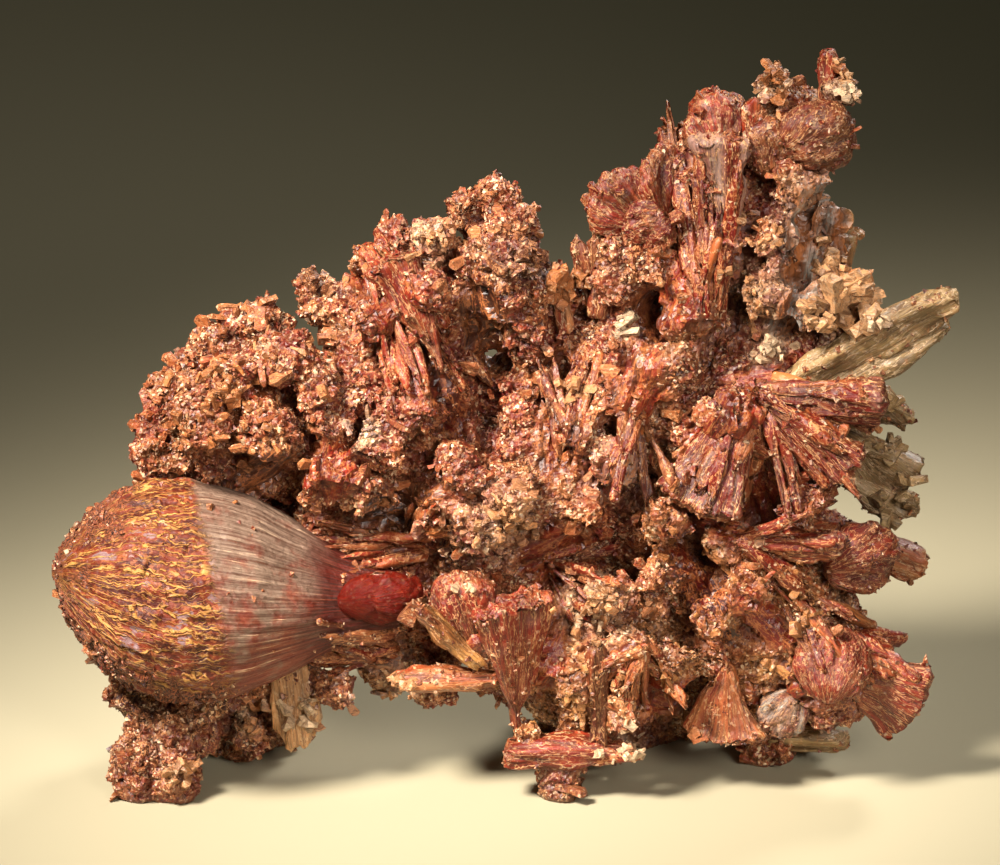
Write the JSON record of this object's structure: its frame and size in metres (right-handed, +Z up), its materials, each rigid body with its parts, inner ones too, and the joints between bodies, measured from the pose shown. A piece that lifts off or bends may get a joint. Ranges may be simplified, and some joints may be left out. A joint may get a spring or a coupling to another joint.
{
  "type": "stilbite mineral specimen",
  "caption": "Cluster of intergrown stilbite: a large bow-tie sheaf at one end, drusy ridges and a tower of bladed crystals, standing on its own broken feet.",
  "frame": {"origin": "middle of the footprint's bounding box, on the level that the specimen stands on", "axes": "+X to the right along the specimen's longest extent, from the great sheaf to the pale blade; the displayed face looks towards -Y; +Z up"},
  "size_m": [0.1125, 0.0465, 0.0951],
  "materials": {
    "stilbite": "glassy to pearly crystal faces, brick red with orange-tan druse"
  },
  "bodies": {
    "root": {"stilbite_cluster": "stilbite"}
  },
  "joints": []
}
